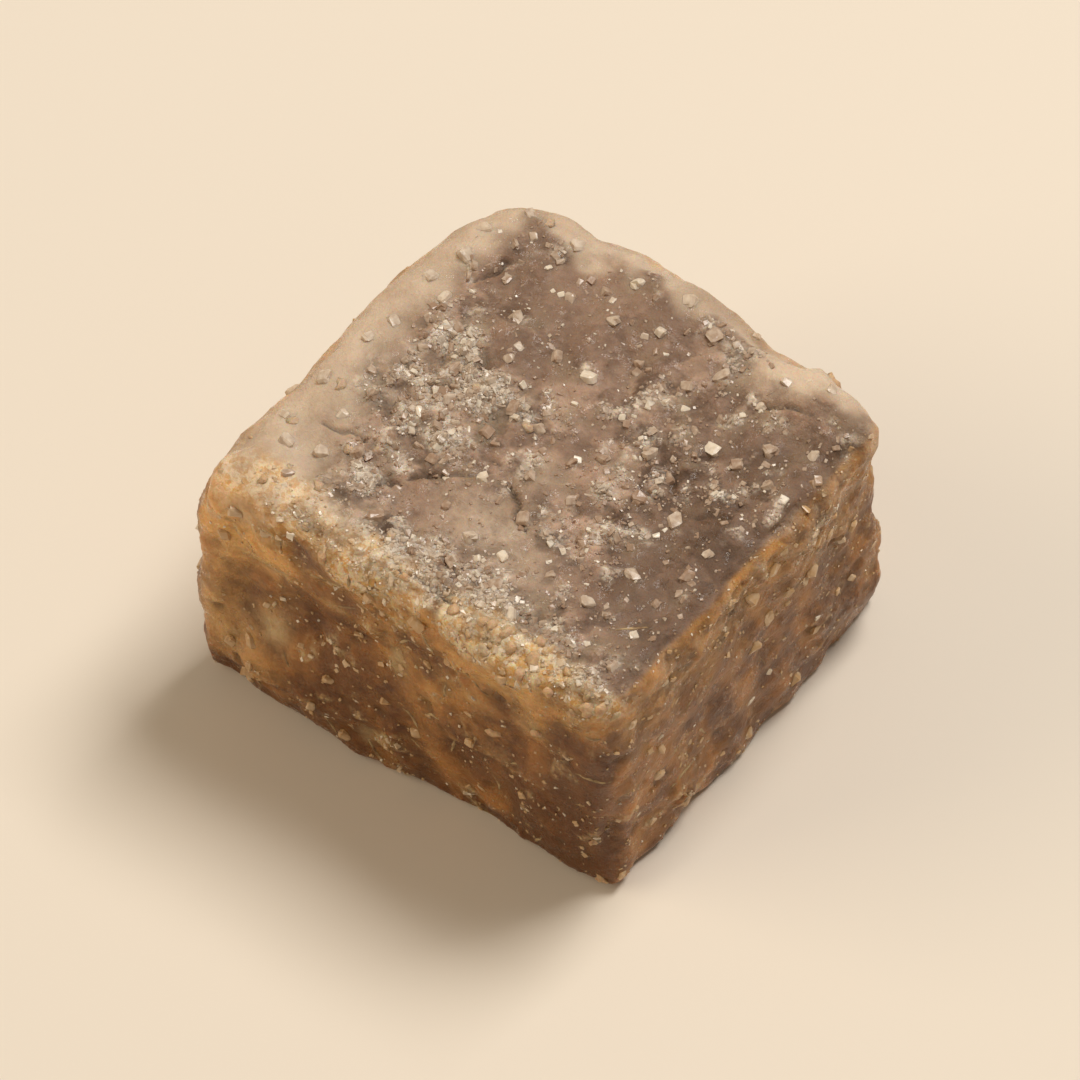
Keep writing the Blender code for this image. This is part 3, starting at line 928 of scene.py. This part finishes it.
def scattered_seats(count, sizes, flat, weights, seed, sink):
    """Seats for loose grains: drawn over the skin by weight, each lying its own way."""
    rng = np.random.default_rng(seed)
    weights = weights * face_areas * not_under
    chosen = rng.choice(len(weights), size=count, p=weights / weights.sum())
    shares = rng.dirichlet((1.0, 1.0, 1.0, 1.0), size=count)
    places = (corner_points[chosen] * shares[:, :, None]).sum(axis=1)
    seats = []
    for face, place in zip(chosen, places):
        size = rng.uniform(*sizes) * rng.uniform(0.7, 1.0)
        outward = Vector(face_normals[face])
        middle = Vector(place) + outward * size * (sink + SINK_SPREAD * rng.standard_normal())
        lying = outward.to_track_quat("Z", "Y")
        spin = Quaternion((0.0, 0.0, 1.0), rng.uniform(0.0, math.tau))
        tilt = Quaternion((1.0, 0.0, 0.0), GRAIN_TILT * rng.standard_normal())
        grain_sizes = size * np.array([1.0, rng.uniform(0.6, 1.0), rng.uniform(*flat)])
        dryness = 0.06 + 0.34 * face_frost[face] + 0.35 * face_fringe[face]
        dryness += 0.14 * rng.standard_normal()
        if rng.random() < BRIGHT_SHARE:
            dryness = rng.uniform(0.7, 1.1)
        matrix = Matrix.Translation(middle) @ (lying @ spin @ tilt).to_matrix().to_4x4()
        seats.append((matrix, grain_sizes, dryness, face_amber[face]))
    return seats


held = (1.0 - 0.95 * step(0.05, 0.6, face_rim)) * (1.0 - face_hollow)
held *= mix(SIDE_GRAINS, 1.0, np.maximum(over_faces(upward), face_fringe))
held *= 1.0 - 0.55 * face_fringe
face_across = corner_points[:, :, 0].mean(axis=1)
held *= mix(0.2, 1.0, step(*BARE_CORNER, face_across))
fine_weight = 0.02 + 0.50 * face_sugar**3 + 0.50 * face_frost * face_sugar + 0.10 * face_fringe
fine_weight *= held
fine_seats = scattered_seats(FINE_COUNT, FINE_SIZE, FINE_FLAT, fine_weight, FINE_SEED, FINE_SINK)
fine_mesh = joined("sugar_fine", crystal_shape(FINE_BEVEL), fine_seats, chips, FINE_CHIP)
finished("sugar_fine", fine_mesh, sugar_look)
dust_weight = (0.03 + 0.8 * face_sugar**2 + 0.3 * face_fringe) * held
dust_seats = scattered_seats(DUST_COUNT, DUST_SIZE, DUST_FLAT, dust_weight, DUST_SEED, DUST_SINK)
dust_mesh = joined("sugar_dust", crystal_shape(0.0), dust_seats, chips, DUST_CHIP)
finished("sugar_dust", dust_mesh, sugar_look)

# Crumbs of paste
# The knife pulls small crumbs out of the soft paste. Half of them stick along the upper edge of
# the cut front, mostly towards its right end, and the others are scattered over the skin.
CRUMB_COUNT = 120
CRUMB_SIZE = (0.35, 1.15)
CRUMB_FLAT = (0.4, 0.8)
CRUMB_SINK = -0.16
CRUMB_CHIP = 0.20
CRUMB_SEED = 31
CRUMB_STRETCH = (-4.0, 8.0)  # they lie thicker and thicker between these x, on the edge
CRUMB_PALE = (0.600, 0.430, 0.265, 1.0)


def crumb_material(name):
    """Paste again: amber on the cut, dull and pale where sugar dust has stuck to it."""
    material, tree, shader, place = new_material(name)
    blotches = ramped(tree, grains(tree, place, 0.6, 3.0, 0.6), 0.38, 0.62)
    flecks = ramped(tree, grains(tree, place, 0.22, 2.0, 0.6), 0.36, 0.64)
    paste = mixed(tree, blotches, PASTE, PASTE_GOLD)
    dull = mixed(tree, flecks, FILM, CRUMB_PALE)
    colour = laid_over(tree, dull, paste, mesh_value(tree, "amber"), 0.35)
    colour = laid_over(tree, colour, CRUMB_PALE, mesh_value(tree, "dryness"), flecks)
    tree.links.new(colour, shader.inputs["Base Color"])
    shader.inputs["Roughness"].default_value = 0.55
    let_light_in(tree, shader, 0.35, PASTE_SCATTER, 0.8)
    add_bump(tree, shader, flecks, 0.6, 0.06)
    return material


crumb_weight = 0.02 + face_fringe * (0.25 + 1.5 * step(*CRUMB_STRETCH, face_across))
crumb_seats = scattered_seats(
    CRUMB_COUNT, CRUMB_SIZE, CRUMB_FLAT, crumb_weight, CRUMB_SEED, CRUMB_SINK
)
lump = bmesh.new()
bmesh.ops.create_icosphere(lump, subdivisions=2, radius=0.5)
crumb_mesh = joined("paste_crumbs", as_arrays(lump), crumb_seats, chips, CRUMB_CHIP)
crumb_mesh.shade_smooth()
finished("paste_crumbs", crumb_mesh, crumb_material("crumb_paste"))

# Ginger fibres
# Grated ginger leaves short tough fibres in the paste. The knife has laid some of them bare on
# the cut sides, flush with the skin, and a few show through the crust.
FIBRE_COUNT = 80
FIBRE_LENGTH = (1.0, 3.4)
FIBRE_WIDTH = (0.14, 0.26)
FIBRE_JOINTS = 8
FIBRE_SIDES = 6
FIBRE_TURN = 0.30  # radians at each joint at most, to either side
FIBRE_SINK = 0.03
FIBRE_FLAT = 0.6  # thickness of a fibre as a share of its width
FIBRE_SEED = 41
CRUST_HIDES = 0.85  # share of the top's fibres that the crust covers
FIBRE_STRAW = (0.560, 0.395, 0.195, 1.0)
FIBRE_BROWN = (0.200, 0.105, 0.040, 1.0)


def fibre_shape():
    """A unit rod along Z, cut at its joints, as arrays of points and faces."""
    bm = bmesh.new()
    bmesh.ops.create_cone(
        bm,
        cap_ends=True,
        segments=FIBRE_SIDES,
        radius1=0.5,
        radius2=0.5,
        depth=1.0,
    )
    cut_along(bm, 2, FIBRE_JOINTS - 1)
    return as_arrays(bm)


def fibre_route(rng, place, outward, length):
    """Places and outward directions at the fibre's joints, as it wanders over the skin."""
    heading = Quaternion(outward, rng.uniform(0.0, math.tau)) @ outward.orthogonal()
    places, outwards = [], []
    for _ in range(FIBRE_JOINTS):
        place, outward, _, _ = skin_tree.find_nearest(place)
        places.append(place - outward * FIBRE_SINK)
        outwards.append(outward)
        heading = Quaternion(outward, rng.uniform(-FIBRE_TURN, FIBRE_TURN)) @ heading
        heading = (heading - outward * heading.dot(outward)).normalized()
        place = place + heading * length / (FIBRE_JOINTS - 1)
    return np.array(places), np.array(outwards)


def fibre_corners(corners, places, outwards, width):
    """The rod's corners, bent along the route, tapered and a little flat."""
    joints = np.linspace(-0.5, 0.5, FIBRE_JOINTS)
    runs = np.gradient(places, axis=0)
    asides = np.cross(outwards, runs)
    asides /= np.linalg.norm(asides, axis=1)[:, None]
    last = FIBRE_JOINTS - 1
    at = np.clip(np.rint((corners[:, 2] + 0.5) * last), 0, last).astype(int)
    taper = width * (0.35 + 0.65 * np.cos(joints[at] * math.pi))
    aside = asides[at] * (corners[:, 0] * taper)[:, None]
    return places[at] + aside + outwards[at] * (corners[:, 1] * taper * FIBRE_FLAT)[:, None]


def fibre_material(name):
    """Straw-coloured fibre, brown where it is soaked."""
    material, tree, shader, place = new_material(name)
    soaking = ramped(tree, grains(tree, place, 0.7), 0.35, 0.65)
    tree.links.new(mixed(tree, soaking, FIBRE_BROWN, FIBRE_STRAW), shader.inputs["Base Color"])
    shader.inputs["Roughness"].default_value = 0.55
    let_light_in(tree, shader, 0.2, (1.0, 0.6, 0.3), 0.4)
    return material


fibre_rng = np.random.default_rng(FIBRE_SEED)
fibre_weight = face_areas * not_under * (1.0 - CRUST_HIDES * over_faces(upward)) * (1.0 - face_rim)
fibre_weight /= fibre_weight.sum()
rod_corners, rod_faces = fibre_shape()
fibre_points, fibre_faces = [], []
chosen_faces = fibre_rng.choice(len(fibre_weight), size=FIBRE_COUNT, p=fibre_weight)
for number, face in enumerate(chosen_faces):
    middle, outward = Vector(corner_points[face].mean(axis=0)), Vector(face_normals[face])
    route = fibre_route(fibre_rng, middle, outward, fibre_rng.uniform(*FIBRE_LENGTH))
    fibre_points.append(fibre_corners(rod_corners, *route, fibre_rng.uniform(*FIBRE_WIDTH)))
    first = number * len(rod_corners)
    fibre_faces.extend([first + index for index in face] for face in rod_faces)
fibre_mesh = bpy.data.meshes.new("ginger_fibres")
placed = np.clip(np.concatenate(fibre_points), room_low, room_high) * MM
fibre_mesh.from_pydata(placed.tolist(), [], fibre_faces)
fibre_mesh.shade_smooth()
finished("ginger_fibres", fibre_mesh, fibre_material("ginger_fibre"))

# The table and the light
# A pale plain table. Soft daylight falls steeply from behind and a little from the right, so the
# cut front is in the candy's own shade. A weaker warm light comes from the left front, and the
# room is faintly lit all round.
TABLE_SIZE = 3.0
TABLE_COLOUR = (0.82, 0.735, 0.62, 1.0)
# The two lights: place, size, power and colour.
DAYLIGHT = ((0.14, 0.34, 0.72), 0.30, 5.1, (1.0, 0.97, 0.93))
FILL = ((-0.60, -0.42, 0.48), 0.60, 2.7, (1.0, 0.84, 0.62))
ROOM_COLOUR = (1.0, 0.885, 0.745, 1.0)
ROOM_LIGHT = 0.23

table_mesh = bmesh.new()
bmesh.ops.create_grid(table_mesh, x_segments=1, y_segments=1, size=TABLE_SIZE / 2.0)
mesh = bpy.data.meshes.new("table")
table_mesh.to_mesh(mesh)
table_mesh.free()
table = bpy.data.objects.new("table", mesh)
bpy.context.scene.collection.objects.link(table)
table_paint = bpy.data.materials.new("pale_table")
table_paint.use_nodes = True
table_shader = table_paint.node_tree.nodes["Principled BSDF"]
table_shader.inputs["Base Color"].default_value = TABLE_COLOUR
table_shader.inputs["Roughness"].default_value = 0.7
mesh.materials.append(table_paint)


def add_light(name, place, size, power, colour):
    """A square soft light, turned to the candy."""
    lamp = bpy.data.objects.new(name, bpy.data.lights.new(name, "AREA"))
    lamp.data.size = size
    lamp.data.energy = power
    lamp.data.color = colour
    lamp.location = place
    lamp.rotation_mode = "QUATERNION"
    lamp.rotation_quaternion = (-Vector(place)).to_track_quat("-Z", "Y")
    bpy.context.scene.collection.objects.link(lamp)


add_light("daylight", *DAYLIGHT)
add_light("fill", *FILL)
world = bpy.data.worlds.new("room")
world.use_nodes = True
sky = world.node_tree.nodes["Background"]
sky.inputs["Color"].default_value = ROOM_COLOUR
sky.inputs["Strength"].default_value = ROOM_LIGHT
bpy.context.scene.world = world
